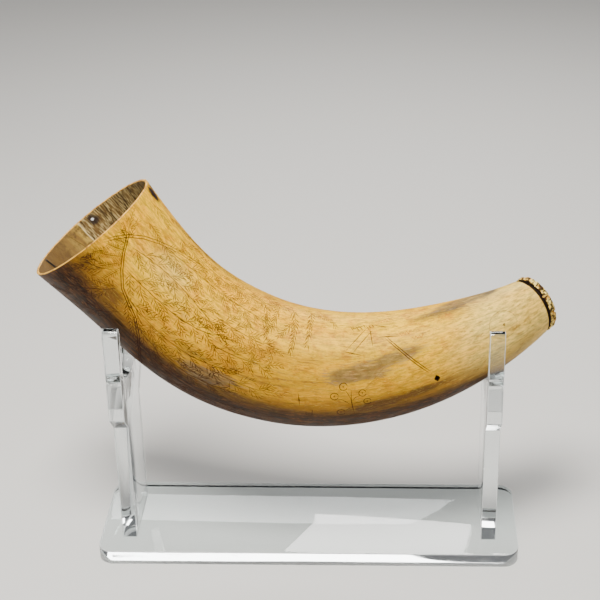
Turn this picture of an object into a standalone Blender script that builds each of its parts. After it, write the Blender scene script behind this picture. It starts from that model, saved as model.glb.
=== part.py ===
# A hollow, engraved cattle horn that lies in two forked uprights of clear sheet on a clear foot plate.
# Metres, +Z up. The origin is the centre of the foot plate's underside. +X runs from the horn's wide
# mouth to its small end, and +Y is the far side.
import math

import bmesh
import bpy
import numpy as np
from mathutils import Matrix, Vector

# Stand: two uprights of one sheet thickness, each with a round bottomed notch between two prongs. They are
# equal, but for the right one's back prong, which stays below the horn's upper edge.
SHEET_THICKNESS = 0.0095
STAND_HEIGHT = 0.1665
FORK_DEPTH = 0.071
PRONG_WIDTH = 0.0072
RIGHT_BACK_PRONG_DROP = 0.0064
NOTCH_DEPTH = 0.0455
NOTCH_FLOOR_RISE = 0.016
SHOULDER_BELOW_TIP = 0.0625
STEM_DEPTH = 0.0484
# The foot plate's ends stand this far out past the middle of each upright.
FOOT_PAST_UPRIGHT = 0.0191
FOOT_DEPTH = 0.080
FOOT_THICKNESS = 0.0095
FOOT_CORNER_RADIUS = 0.010

# Horn: a tapering oval tube along a bent and slightly twisted centre line.
HORN_LENGTH = 0.311
MOUTH_DIAMETER = 0.0890
THROAT_DIAMETER = 0.0816
BELLY_DIAMETER = 0.0800
WAIST_DIAMETER = 0.0590
SMALL_END_DIAMETER = 0.0378
# Shares of the length at which those five diameters, and the three walls below, are measured.
DIAMETER_SHARES = (0.0, 0.12, 0.40, 0.80, 1.0)
WALL_SHARES = (0.0, 0.5, 1.0)
WALL_AT_MOUTH = 0.0017
WALL_AT_BELLY = 0.0032
WALL_AT_SMALL_END = 0.0055
# How wide the section is across the bend, as a share of its width in the bend.
MOUTH_OVALITY = 0.80
SMALL_END_OVALITY = 0.94

# The bend: rise and sideways swing of the centre line, in degrees, at even steps along the length.
RISE_ANGLES = (-51.3, -45.6, -19.7, 3.9, 18.2, 13.5)
SWING_ANGLES = (1.0, -3.3, -5.2, -1.6, 9.5, 40.6)
# Shares of the length that lie over the two uprights, which sets how far apart they stand.
LEFT_SEAT_SHARE = 0.064
RIGHT_SEAT_SHARE = 0.9102

# Carved end: a groove cut around the horn and the worn collar left outside it.
COLLAR_DIAMETER = 0.0384
COLLAR_REACH = 0.0085
GROOVE_DEPTH = 0.0024
GROOVE_WIDTH = 0.0024
GROOVE_NARROWEST = 0.0006
EDGE_ROUNDING = 0.0007
COLLAR_WEAR = 0.0005

# Holes through the wall. A share is measured along the horn, an angle around it from its inner bend.
PEG_HOLE_WIDTH = 0.0044
PEG_HOLE_LENGTH = 0.0034
PEG_HOLE_SHARE = 0.775
PEG_HOLE_ANGLE = 265.0
NAIL_HOLE_DIAMETER = 0.0020
NAIL_HOLE_BELOW_RIM = 0.0045
NAIL_HOLE_ANGLE = 105.0

# Pieces that touch keep this much air between their faceted surfaces.
TOUCH_GAP = 0.0003
# The horn's gap to the forks is measured straight up, and its underside is steep there.
SEAT_GAP = 2 * TOUCH_GAP

# Cutters through the wall are this many walls long. Edges sharper than this angle stay creased.
CUTTER_WALLS = 3
SHARP_EDGE_ANGLE = 40.0

SIDES = 44
OUTER_STEPS = 34
INNER_STEPS = 26
ARC_STEPS = 12
CENTRE_LINE_STEPS = 240
# The horn is seated on its forks with a finer copy of its surface, a few small corrections at a time.
SEAT_SIDES = 180
SEAT_RINGS = 400
SEAT_ROUNDS = 40

HORN_COLOUR = (0.60, 0.36, 0.13, 1.0)
CLEAR_COLOUR = (0.80, 0.85, 0.86, 1.0)


def remove_old_objects():
    for old in list(bpy.data.objects):
        bpy.data.objects.remove(old, do_unlink=True)


def new_collection(name):
    collection = bpy.data.collections.new(name)
    bpy.context.scene.collection.children.link(collection)
    return collection


def new_material(name, colour, roughness, transmission=0.0):
    material = bpy.data.materials.new(name)
    material.use_nodes = True
    shader = material.node_tree.nodes["Principled BSDF"]
    shader.inputs["Base Color"].default_value = colour
    shader.inputs["Roughness"].default_value = roughness
    shader.inputs["Metallic"].default_value = 0.0
    shader.inputs["Transmission Weight"].default_value = transmission
    return material


def smooth_between(stations, values, place):
    # Cubic through the stations, with slopes from their neighbours, so the values run on without a kink.
    stations = np.asarray(stations, float)
    values = np.asarray(values, float)
    slopes = np.gradient(values, stations)
    place = np.clip(np.asarray(place, float), stations[0], stations[-1])
    left = np.clip(np.searchsorted(stations, place, side="right") - 1, 0, len(stations) - 2)
    span = stations[left + 1] - stations[left]
    t = (place - stations[left]) / span
    start = (1 + 2 * t) * (1 - t) ** 2 * values[left] + t * (1 - t) ** 2 * span * slopes[left]
    end = t ** 2 * (3 - 2 * t) * values[left + 1] + t ** 2 * (t - 1) * span * slopes[left + 1]
    return start + end


def outer_radius(share):
    diameters = (MOUTH_DIAMETER, THROAT_DIAMETER, BELLY_DIAMETER, WAIST_DIAMETER, SMALL_END_DIAMETER)
    return smooth_between(DIAMETER_SHARES, diameters, share) / 2


def wall_thickness(share):
    return smooth_between(WALL_SHARES, (WALL_AT_MOUTH, WALL_AT_BELLY, WALL_AT_SMALL_END), share)


def ovality(share):
    return MOUTH_OVALITY + (SMALL_END_OVALITY - MOUTH_OVALITY) * np.asarray(share, float)


def direction_at(share):
    steps = np.linspace(0.0, 1.0, len(RISE_ANGLES))
    rise = np.radians(smooth_between(steps, RISE_ANGLES, share))
    swing = np.radians(smooth_between(steps, SWING_ANGLES, share))
    return np.stack([np.cos(rise) * np.cos(swing), np.cos(rise) * np.sin(swing), np.sin(rise)], axis=-1)


def centre_line():
    # Points of the centre line, found by walking along its direction from the middle of the mouth.
    shares = np.linspace(0.0, 1.0, CENTRE_LINE_STEPS + 1)
    middles = (shares[1:] + shares[:-1]) / 2
    strides = direction_at(middles) * HORN_LENGTH / CENTRE_LINE_STEPS
    points = np.vstack([np.zeros(3), np.cumsum(strides, axis=0)])
    return shares, points


CENTRE_SHARES, CENTRE_POINTS = centre_line()


def centre_at(share):
    return np.array([np.interp(share, CENTRE_SHARES, CENTRE_POINTS[:, k]) for k in range(3)])


UPRIGHT_SPACING = centre_at(RIGHT_SEAT_SHARE)[0] - centre_at(LEFT_SEAT_SHARE)[0]


def frame_at(share):
    # Centre, direction, and the two section axes: towards the inner bend and towards the far side.
    centre = centre_at(share)
    along = direction_at(share)
    inward = np.cross(along, (0.0, 1.0, 0.0))
    inward /= np.linalg.norm(inward)
    across = np.cross(inward, along)
    return centre, along, inward, across


def section(share, radius, angles, ahead=0.0):
    # One ring around the centre line. A positive ahead moves it on past that share of the length.
    centre, along, inward, across = frame_at(share)
    reach = np.stack([np.cos(angles) * radius, np.sin(angles) * radius * ovality(share)], axis=-1)
    ahead = np.broadcast_to(ahead, angles.shape)
    return centre + along * ahead[:, None] + inward * reach[:, :1] + across * reach[:, 1:]


def notch_half_width():
    return FORK_DEPTH / 2 - PRONG_WIDTH


def fork_height(depth):
    # Height of a fork's upper outline: the notch floor between the prongs, and their round tips.
    tip_radius = PRONG_WIDTH / 2
    half_notch = notch_half_width()
    depth = np.abs(np.asarray(depth, float))
    floor_share = np.sqrt(np.clip(1 - (depth / half_notch) ** 2, 0.0, 1.0))
    floor = STAND_HEIGHT - NOTCH_DEPTH + NOTCH_FLOOR_RISE * (1 - floor_share)
    off_axis = depth - half_notch - tip_radius
    tip = STAND_HEIGHT - tip_radius + np.sqrt(np.clip(tip_radius ** 2 - off_axis ** 2, 0.0, None))
    return np.where(depth < half_notch, floor, np.where(depth <= FORK_DEPTH / 2, tip, -np.inf))


def seat_of_horn():
    # The horn is put over the left upright and between the right one's prongs, then shifted, swung,
    # lowered and tilted until it is centred over both forks and its underside keeps one small gap to them.
    angles = np.linspace(0.0, 2 * math.pi, SEAT_SIDES, endpoint=False)
    rings = [section(share, outer_radius(share), angles) for share in np.linspace(0.0, 1.0, SEAT_RINGS)]
    skin = np.concatenate(rings)
    left_x = -UPRIGHT_SPACING / 2
    pivot = Matrix.Translation((left_x, 0, STAND_HEIGHT + MOUTH_DIAMETER / 2))
    seat = pivot @ Matrix.Translation(centre_at(LEFT_SEAT_SHARE)).inverted()
    for _ in range(SEAT_ROUNDS):
        placed = skin @ np.array(seat.to_3x3()).T + np.array(seat.translation)
        offsets = []
        lifts = []
        for x in (left_x, -left_x):
            over = placed[np.abs(placed[:, 0] - x) <= SHEET_THICKNESS / 2 + TOUCH_GAP]
            offsets.append((over[:, 1].max() + over[:, 1].min()) / 2)
            lifts.append((fork_height(over[:, 1]) + SEAT_GAP - over[:, 2]).max())
        swing = Matrix.Rotation((offsets[0] - offsets[1]) / UPRIGHT_SPACING, 4, "Z")
        tilt = Matrix.Rotation((lifts[0] - lifts[1]) / UPRIGHT_SPACING / 2, 4, "Y")
        shift = Matrix.Translation((0, -offsets[0], lifts[0] / 2))
        seat = shift @ pivot @ swing @ tilt @ pivot.inverted() @ seat
    return seat


def closed_loft(rings):
    # Skins the rings one after another and joins the last one to the first, as a tube turned into itself.
    mesh = bmesh.new()
    rows = [[mesh.verts.new(point) for point in ring] for ring in rings]
    for row, following in zip(rows, rows[1:] + rows[:1]):
        for k in range(len(row)):
            after = (k + 1) % len(row)
            mesh.faces.new((row[k], row[after], following[after], following[k]))
    bmesh.ops.recalc_face_normals(mesh, faces=mesh.faces)
    return mesh


def worn(angles, shift):
    # Uneven wear around the collar, between -1 and 1, the same in every run.
    return (np.sin(5 * angles + shift) + np.sin(11 * angles + 2.3 * shift) + np.sin(17 * angles - shift)) / 3


def carved_end_rings(angles):
    # Rings past the plain surface: rounded edge, groove, collar. The groove is widest on the upper side.
    radius = outer_radius(1.0)
    collar = COLLAR_DIAMETER / 2
    width = GROOVE_NARROWEST + (GROOVE_WIDTH - GROOVE_NARROWEST) * (0.5 + 0.5 * np.cos(angles))
    edge = EDGE_ROUNDING
    floor = radius - GROOVE_DEPTH
    side_wear = COLLAR_WEAR * worn(angles, 1.0)
    face = COLLAR_REACH - COLLAR_WEAR + COLLAR_WEAR * worn(angles, 2.0)
    steps = (
        (radius - edge, edge),
        (floor, 1.5 * edge),
        (floor, 1.5 * edge + width),
        (collar - edge + side_wear, 2 * edge + width),
        (collar + side_wear, 3 * edge + width),
        (collar - side_wear, face - edge),
        (collar - edge - side_wear, face),
    )
    return [section(1.0, reach, angles, ahead) for reach, ahead in steps]


def horn_rings():
    angles = np.linspace(0.0, 2 * math.pi, SIDES, endpoint=False)
    rings = []
    for share in np.linspace(0.0, 1.0, OUTER_STEPS + 1):
        rings.append(section(share, outer_radius(share), angles))
    rings += carved_end_rings(angles)
    bore = outer_radius(1.0) - wall_thickness(1.0)
    rings.append(section(1.0, bore, angles, COLLAR_REACH - COLLAR_WEAR))
    for share in np.linspace(1.0, 0.0, INNER_STEPS + 1):
        rings.append(section(share, outer_radius(share) - wall_thickness(share), angles))
    return rings


def new_object(name, mesh_or_curve, collection, material=None):
    made = bpy.data.objects.new(name, mesh_or_curve)
    collection.objects.link(made)
    if material:
        mesh_or_curve.materials.append(material)
    return made


def wall_cutter(name, collection, seat, share, angle, width, length, sides):
    # A straight peg through the wall, square to the surface, longer than the wall is thick.
    turn = np.array([math.radians(angle)])
    centre, along, inward, across = frame_at(share)
    surface = Vector(section(share, outer_radius(share), turn)[0])
    outward = (surface - Vector(centre)).normalized()
    sideways = outward.cross(Vector(along)).normalized()
    lengthways = sideways.cross(outward)
    axes = Matrix((sideways, lengthways, outward)).transposed().to_4x4()
    reach = CUTTER_WALLS * wall_thickness(share)
    shape = bmesh.new()
    bmesh.ops.create_cone(shape, cap_ends=True, segments=sides, radius1=0.5, radius2=0.5, depth=1.0)
    bmesh.ops.scale(shape, vec=(width, length, reach), verts=shape.verts)
    mesh = bpy.data.meshes.new(name)
    shape.to_mesh(mesh)
    shape.free()
    cutter = new_object(name, mesh, collection)
    cutter.matrix_world = seat @ Matrix.Translation(surface) @ axes
    cutter.hide_render = True
    cutter.display_type = "WIRE"
    return cutter


def make_horn(collection, cutters, material):
    seat = seat_of_horn()
    skin = closed_loft(horn_rings())
    mesh = bpy.data.meshes.new("horn")
    skin.to_mesh(mesh)
    skin.free()
    horn = new_object("horn", mesh, collection, material)
    horn.matrix_world = seat
    mesh.shade_smooth()
    mesh.set_sharp_from_angle(angle=math.radians(SHARP_EDGE_ANGLE))
    peg = wall_cutter("peg_hole", cutters, seat, PEG_HOLE_SHARE, PEG_HOLE_ANGLE,
                      PEG_HOLE_WIDTH, PEG_HOLE_LENGTH, 4)
    nail_share = NAIL_HOLE_BELOW_RIM / HORN_LENGTH
    nail = wall_cutter("nail_hole", cutters, seat, nail_share, NAIL_HOLE_ANGLE,
                       NAIL_HOLE_DIAMETER, NAIL_HOLE_DIAMETER, 10)
    for cutter in (peg, nail):
        cut = horn.modifiers.new(cutter.name, "BOOLEAN")
        cut.operation = "DIFFERENCE"
        cut.solver = "EXACT"
        cut.object = cutter
    return horn


def arc(centre, radius, start, end, rise=None):
    # Points of an arc, or of half an ellipse where a rise of its own is given, from start to end degrees.
    rise = radius if rise is None else rise
    turns = np.radians(np.linspace(start, end, ARC_STEPS + 1))
    return [(centre[0] + radius * math.cos(a), centre[1] + rise * math.sin(a)) for a in turns]


def flat_piece(name, outline, thickness, collection, material):
    # A flat sheet with this outline, centred on its own plane.
    curve = bpy.data.curves.new(name, "CURVE")
    curve.dimensions = "2D"
    curve.fill_mode = "BOTH"
    curve.extrude = thickness / 2
    spline = curve.splines.new("POLY")
    spline.points.add(len(outline) - 1)
    for point, (x, y) in zip(spline.points, outline):
        point.co = (x, y, 0.0, 1.0)
    spline.use_cyclic_u = True
    piece = new_object(name, curve, collection, material)
    weld = piece.modifiers.new("weld", "WELD")
    weld.merge_threshold = 0.00001
    return piece


def fork_side(drop):
    # Half outline from the foot up over the prong, its tip lower by the drop, and down to the notch floor.
    tip_radius = PRONG_WIDTH / 2
    half_notch = notch_half_width()
    shoulder = STAND_HEIGHT - SHOULDER_BELOW_TIP
    shoulder_drop = (FORK_DEPTH - STEM_DEPTH) / 2
    floor_top = STAND_HEIGHT - NOTCH_DEPTH + NOTCH_FLOOR_RISE
    half = [
        (STEM_DEPTH / 2, FOOT_THICKNESS + TOUCH_GAP),
        (STEM_DEPTH / 2, shoulder - shoulder_drop),
        (FORK_DEPTH / 2, shoulder),
    ]
    half += arc((half_notch + tip_radius, STAND_HEIGHT - tip_radius - drop), tip_radius, 0, 180)
    half += arc((0.0, floor_top), half_notch, 0, -90, NOTCH_FLOOR_RISE)
    return half


def fork_outline(back_drop):
    # The far side as it is, then the near side mirrored.
    return fork_side(back_drop) + [(-x, y) for x, y in reversed(fork_side(0.0)[:-1])]


def make_cradle(name, x, back_drop, collection, material):
    cradle = flat_piece(name, fork_outline(back_drop), SHEET_THICKNESS, collection, material)
    # The outline's own x becomes +Y and its own y becomes +Z.
    cradle.matrix_world = Matrix.Translation((x, 0, 0)) @ Matrix(((0, 0, 1), (1, 0, 0), (0, 1, 0))).to_4x4()
    return cradle


def foot_outline():
    x = UPRIGHT_SPACING / 2 + FOOT_PAST_UPRIGHT - FOOT_CORNER_RADIUS
    y = FOOT_DEPTH / 2 - FOOT_CORNER_RADIUS
    outline = []
    for centre, start in (((x, y), 0), ((-x, y), 90), ((-x, -y), 180), ((x, -y), 270)):
        outline += arc(centre, FOOT_CORNER_RADIUS, start, start + 90)
    return outline


def make_foot(collection, material):
    foot = flat_piece("stand_base", foot_outline(), FOOT_THICKNESS, collection, material)
    foot.location = (0, 0, FOOT_THICKNESS / 2)
    return foot


def main():
    remove_old_objects()
    pieces = new_collection("scrimshaw_powder_horn")
    cutters = new_collection("cutters")
    horn_material = new_material("horn", HORN_COLOUR, 0.35)
    clear_material = new_material("clear_acrylic", CLEAR_COLOUR, 0.03, 1.0)
    make_horn(pieces, cutters, horn_material)
    make_cradle("left_cradle", -UPRIGHT_SPACING / 2, 0.0, pieces, clear_material)
    make_cradle("right_cradle", UPRIGHT_SPACING / 2, RIGHT_BACK_PRONG_DROP, pieces, clear_material)
    make_foot(pieces, clear_material)


main()
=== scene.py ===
import math
import random

import bmesh
import bpy
import numpy as np
from mathutils import Matrix, Vector, kdtree, noise
from mathutils.geometry import delaunay_2d_cdt


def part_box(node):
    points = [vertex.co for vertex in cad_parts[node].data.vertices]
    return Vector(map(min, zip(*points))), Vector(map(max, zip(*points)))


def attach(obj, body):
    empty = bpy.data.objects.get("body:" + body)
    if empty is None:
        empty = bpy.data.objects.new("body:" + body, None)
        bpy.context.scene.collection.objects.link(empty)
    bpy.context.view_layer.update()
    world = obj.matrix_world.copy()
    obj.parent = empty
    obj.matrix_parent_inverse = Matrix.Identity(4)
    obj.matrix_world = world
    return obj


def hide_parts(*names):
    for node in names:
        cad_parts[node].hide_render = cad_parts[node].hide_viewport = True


# An engraved powder horn in its clear cradle stand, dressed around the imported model.
# Lengths are metres in the frame's own axes, unless a name says millimetres.
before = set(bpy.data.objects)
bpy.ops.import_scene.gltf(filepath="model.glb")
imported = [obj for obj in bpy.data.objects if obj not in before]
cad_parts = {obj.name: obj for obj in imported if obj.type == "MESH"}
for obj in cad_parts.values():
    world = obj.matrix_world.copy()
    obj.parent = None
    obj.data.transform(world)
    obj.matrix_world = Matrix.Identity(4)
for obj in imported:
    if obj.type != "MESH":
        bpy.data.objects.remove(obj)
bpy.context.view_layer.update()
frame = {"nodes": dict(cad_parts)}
print("frame loaded:", ", ".join(frame["nodes"]))

cameraView = {
    "place": (0.0502, -0.8396, 0.5988),
    "azimuth": 0.80,
    "elevation": 27.0,
    "lens": 92.15,
    "sensor": 36.0,
    "shiftX": -0.1147,
}


def makeCamera(v):
    data = bpy.data.cameras.new("viewCamera")
    data.lens = v["lens"]
    data.sensor_width = v["sensor"]
    data.shift_x = v["shiftX"]    # the photograph's frame is not centred on the view
    camera = bpy.data.objects.new("viewCamera", data)
    bpy.context.scene.collection.objects.link(camera)
    turn, rise = math.radians(v["azimuth"]), math.radians(v["elevation"])
    back = Vector((math.sin(turn) * math.cos(rise), -math.cos(turn) * math.cos(rise), math.sin(rise)))
    camera.rotation_mode = "QUATERNION"
    camera.rotation_quaternion = (-back).to_track_quat("-Z", "Y")
    camera.location = v["place"]
    bpy.context.scene.camera = camera


makeCamera(cameraView)
print("camera placed")

# The same centre line, diameters and walls as the solid horn, so that the fine surface lies on it.
hornForm = {
    "length": 0.311,
    "diameterShares": (0.0, 0.12, 0.40, 0.80, 1.0),
    "diameters": (0.0890, 0.0816, 0.0800, 0.0590, 0.0378),
    "wallShares": (0.0, 0.5, 1.0),
    "walls": (0.0017, 0.0032, 0.0055),
    "ovality": (0.80, 0.94),
    "rise": (-51.3, -45.6, -19.7, 3.9, 18.2, 13.5),
    "swing": (1.0, -3.3, -5.2, -1.6, 9.5, 40.6),
    "seatShift": (-0.128376, -0.000012, 0.219475),
    "seatTilt": 0.01283,
    "seatSwing": -0.008109,
    "spineSteps": 240,
    "unevenness": 0.00016,
    "calmEnds": 0.05,    # share of the length over which the unevenness fades out at both ends
}


def between(stations, values, place):
    # cubic through the stations, with slopes from their neighbours
    stations = np.asarray(stations, float)
    values = np.asarray(values, float)
    slopes = np.gradient(values, stations)
    place = np.clip(np.asarray(place, float), stations[0], stations[-1])
    left = np.clip(np.searchsorted(stations, place, side="right") - 1, 0, len(stations) - 2)
    span = stations[left + 1] - stations[left]
    t = (place - stations[left]) / span
    first = (1 + 2 * t) * (1 - t) ** 2 * values[left] + t * (1 - t) ** 2 * span * slopes[left]
    second = t ** 2 * (3 - 2 * t) * values[left + 1] + t ** 2 * (t - 1) * span * slopes[left + 1]
    return first + second


def radiusAt(share):
    return between(hornForm["diameterShares"], hornForm["diameters"], share) / 2


def wallAt(share):
    return between(hornForm["wallShares"], hornForm["walls"], share)


def ovalAt(share):
    start, end = hornForm["ovality"]
    return start + (end - start) * np.clip(share, 0.0, 1.0)


def headingAt(share):
    steps = np.linspace(0.0, 1.0, len(hornForm["rise"]))
    rise = np.radians(between(steps, hornForm["rise"], share))
    swing = np.radians(between(steps, hornForm["swing"], share))
    return np.stack([np.cos(rise) * np.cos(swing), np.cos(rise) * np.sin(swing), np.sin(rise)], axis=-1)


spineShares = np.linspace(0.0, 1.0, hornForm["spineSteps"] + 1)
spineStrides = headingAt((spineShares[1:] + spineShares[:-1]) / 2) * hornForm["length"] / hornForm["spineSteps"]
spinePoints = np.vstack([np.zeros(3), np.cumsum(spineStrides, axis=0)])
seatTurn = np.array(Matrix.Rotation(hornForm["seatTilt"], 3, "Y") @ Matrix.Rotation(hornForm["seatSwing"], 3, "Z"))


def swell(share, angle):
    # the low, broad unevenness of a hand-scraped surface, always inwards
    waves = (np.sin(3 * angle + 9 * share) + np.sin(5 * angle - 14 * share + 1.0)
             + 0.7 * np.sin(8 * angle + 23 * share + 2.0) + 0.5 * np.sin(31 * share + 2 * angle))
    calm = hornForm["calmEnds"]
    fade = np.clip(share / calm, 0, 1) * np.clip((1 - share) / calm, 0, 1)
    return hornForm["unevenness"] * (waves / 3.2 * 0.5 + 0.5) * fade


def hornPoints(share, angle, inset=0.0, ahead=0.0):
    # points of the surface at shares of the length and angles round it, set inwards by inset
    share, angle = np.asarray(share, float), np.asarray(angle, float)
    centre = np.stack([np.interp(share, spineShares, spinePoints[:, k]) for k in range(3)], axis=-1)
    along = headingAt(share)
    inward = np.cross(along, (0.0, 1.0, 0.0))
    inward /= np.linalg.norm(inward, axis=-1, keepdims=True)
    across = np.cross(inward, along)
    reach = radiusAt(share) - inset
    flat = inward * (np.cos(angle) * reach)[..., None]
    flat = flat + across * (np.sin(angle) * reach * ovalAt(share))[..., None]
    place = centre + flat + along * (np.zeros_like(share) + ahead)[..., None]
    return place @ seatTurn.T + np.array(hornForm["seatShift"])


def girthAt(share):
    # length round the outside, from the usual sum for an ellipse
    a = radiusAt(share)
    b = a * ovalAt(share)
    return math.pi * (3 * (a + b) - np.sqrt((3 * a + b) * (a + 3 * b)))


# The engraving is drawn on the unrolled horn.
# Drawing millimetres: first along the horn from the mouth, then round it from the front towards the top.
def wander(start, heading, length, bend, step, rng, shake=0.0):
    # a gently bending line: heading and bend in degrees, bend spread over the length
    count = max(2, int(round(length / step)))
    x, y = start
    points = [(x, y)]
    for k in range(count):
        turn = math.radians(heading + bend * (k + 0.5) / count + rng.uniform(-shake, shake))
        x += math.cos(turn) * length / count
        y += math.sin(turn) * length / count
        points.append((x, y))
    return points


def line(points, width, ink, rust=0.0):
    return {"points": points, "width": width, "ink": ink, "rust": rust}


def alongStem(stem, share):
    # the place at a share of a stem, the stem's point before it and its heading there in degrees
    spot = share * (len(stem) - 1)
    low = min(int(spot), len(stem) - 2)
    mix = spot - low
    (ax, ay), (bx, by) = stem[low], stem[low + 1]
    aim = math.degrees(math.atan2(by - ay, bx - ax))
    return (ax + (bx - ax) * mix, ay + (by - ay) * mix), stem[low], aim


foliage = {
    "leafLength": (4.4, 6.8),
    "leafGap": 2.1,
    "leafSpread": (32, 50),
    "leafCurl": 22,
    "leafWidth": (0.42, 0.56),
    "leafInk": (0.9, 1.0),
    "leafMissing": 0.10,
    "leafShift": 0.25,
    "stemWidth": 0.44,
    "stemInk": 0.75,
    "stemShake": 5.0,
    "boughWidth": 0.42,
    "boughInk": 0.8,
    "boughShake": 3.0,
    "twigSize": (0.75, 1.15),
    "twigSpread": (30, 48),
    "twigCurl": (5, 30),
}


def spray(start, heading, length, bend, rng, scale=1.0, ink=1.0, bare=0.12):
    # one stem with paired leaf strokes that lean towards its tip
    f = foliage
    shift = f["leafShift"]
    stem = wander(start, heading, length, bend, 2.4, rng, f["stemShake"])
    lines = [line(stem, f["stemWidth"], f["stemInk"] * ink)]
    gaps = max(2, int(length / (f["leafGap"] * scale)))
    for k in range(gaps + 1):
        share = bare + (1 - bare) * k / gaps
        (x, y), _, aim = alongStem(stem, share)
        for side in (-1, 1):
            if rng.random() < f["leafMissing"]:
                continue
            size = rng.uniform(*f["leafLength"]) * scale * (1.05 - 0.45 * share)
            lean = rng.uniform(*f["leafSpread"]) * (1 - 0.25 * share)
            root = (x + rng.uniform(-shift, shift), y + rng.uniform(-shift, shift))
            leaf = wander(root, aim + side * lean, size, -side * rng.uniform(0, f["leafCurl"]), size / 2, rng)
            lines.append(line(leaf, rng.uniform(*f["leafWidth"]) * scale, rng.uniform(*f["leafInk"]) * ink))
    return lines


def bough(start, heading, length, bend, rng, twigs, twigLength, scale=1.0, ink=1.0):
    # a long stem that carries sprays on both sides and ends in one
    f = foliage
    stem = wander(start, heading, length, bend, 3.0, rng, f["boughShake"])
    lines = [line(stem, f["boughWidth"] * scale, f["boughInk"] * ink)]
    for k in range(twigs):
        _, root, aim = alongStem(stem, (k + 0.7) / twigs)
        side = 1 if k % 2 else -1
        size = twigLength * rng.uniform(*f["twigSize"]) * (1.1 - 0.4 * k / twigs)
        lines += spray(root, aim + side * rng.uniform(*f["twigSpread"]), size,
                       -side * rng.uniform(*f["twigCurl"]), rng, scale, ink, 0.05)
    aim = alongStem(stem, 1.0)[2]
    return lines + spray(stem[-1], aim, twigLength, bend * 0.3, rng, scale, ink, 0.0)


def doubleLine(points, gap, width, ink):
    # two lines side by side
    lines = []
    for side in (-0.5, 0.5):
        shifted = []
        for k, (x, y) in enumerate(points):
            ax, ay = points[max(k - 1, 0)]
            bx, by = points[min(k + 1, len(points) - 1)]
            run = math.hypot(bx - ax, by - ay) or 1.0
            shifted.append((x - (by - ay) / run * gap * side, y + (bx - ax) / run * gap * side))
        lines.append(line(shifted, width, ink))
    return lines


def ring(centre, radius, width, ink, rng, rust=0.0, wobble=0.03, sides=14):
    x, y = centre
    points = []
    for k in range(sides):
        turn = 2 * math.pi * k / (sides - 0.6)
        reach = radius * (1 + rng.uniform(-wobble, wobble))
        points.append((x + reach * math.cos(turn), y + reach * math.sin(turn)))
    return line(points, width, ink, rust)


# main boughs: start, heading, length, bend, twigs, twig length, scale, ink
boughs = (
    ((19, 22), 12, 76, -26, 14, 15, 1.0, 0.95),
    ((27, 11), -2, 74, 12, 14, 15, 1.0, 1.0),
    ((38, 1), -10, 70, 20, 13, 14, 1.0, 1.0),
    ((50, -6), -18, 64, 24, 11, 13, 1.0, 0.95),
    ((62, -14), -20, 60, 20, 10, 12, 1.0, 0.9),
    ((72, -26), -12, 60, 12, 9, 11, 0.95, 0.8),
    ((30, 36), 8, 56, -6, 11, 13, 1.0, 0.9),
    ((36, 50), 2, 56, -4, 10, 12, 1.0, 0.85),
    ((86, 40), 6, 42, -16, 8, 12, 1.0, 0.95),
    ((92, 26), 0, 44, -6, 8, 12, 1.0, 0.95),
    ((98, 12), -2, 40, 8, 7, 12, 1.0, 0.9),
    ((106, -2), -4, 36, 6, 6, 11, 1.0, 0.8),
    ((90, 54), 0, 40, -6, 8, 11, 1.0, 0.85),
    ((22, 6), 214, 26, -14, 6, 10, 1.0, 0.95),
    ((32, 0), 236, 30, -18, 7, 10, 1.0, 0.9),
    ((46, -8), 240, 28, -12, 6, 10, 1.0, 0.85),
    ((60, -20), 242, 24, -10, 5, 10, 1.0, 0.8),
    ((76, -38), -4, 50, 8, 8, 10, 0.95, 0.7),
    ((14, 24), 150, 10, -30, 3, 8, 0.85, 0.9),
    ((60, -96), 6, 60, -8, 9, 13, 1.0, 0.6),
    ((40, 96), -4, 70, 6, 10, 13, 1.0, 0.6),
)
# single sprays: start, heading, length, bend, scale, ink
sprays = (
    ((14, 40), -8, 20, -14, 1.0, 0.9),
    ((10, 54), -14, 16, 6, 1.2, 0.9),
    ((22, 60), -4, 20, 6, 1.25, 1.0),
    ((38, 63), -2, 20, 4, 1.25, 1.0),
    ((56, 64), -2, 20, 4, 1.25, 1.0),
    ((76, 64), -3, 20, 4, 1.2, 0.9),
    ((120, 60), -10, 24, -4, 1.2, 0.85),
    ((124, 52), -48, 24, -34, 1.1, 0.95),
    ((137, 55), -86, 24, -20, 1.2, 1.0),
    ((147, 57), -58, 34, -40, 1.25, 1.0),
    ((151, 44), -112, 14, -20, 1.1, 0.9),
    ((164, 58), -84, 28, -8, 1.2, 1.0),
    ((170, 58), -40, 20, -14, 1.0, 0.7),
    ((156, 59), -20, 22, -8, 1.0, 0.7),
    ((116, 36), -60, 22, 8, 1.1, 0.85),
    ((128, 24), -84, 18, 12, 1.0, 0.8),
    ((142, 26), -96, 18, 10, 1.0, 0.7),
    ((12, -14), 214, 12, 10, 0.9, 0.9),
    ((20, -26), 228, 16, 10, 0.9, 0.9),
    ((33, -34), 236, 16, 8, 0.9, 0.8),
    ((10, 2), 200, 8, 10, 0.9, 0.9),
    ((8, -2), 250, 12, 12, 0.9, 0.9),
    ((14, -30), 246, 14, 10, 0.9, 0.8),
    ((24, -44), 250, 16, 10, 0.9, 0.7),
    ((48, -34), 262, 16, 14, 0.95, 0.8),
    ((96, -38), -12, 24, 8, 0.95, 0.7),
    ((6, 30), 168, 4, 0, 0.8, 0.8),
)


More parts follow.
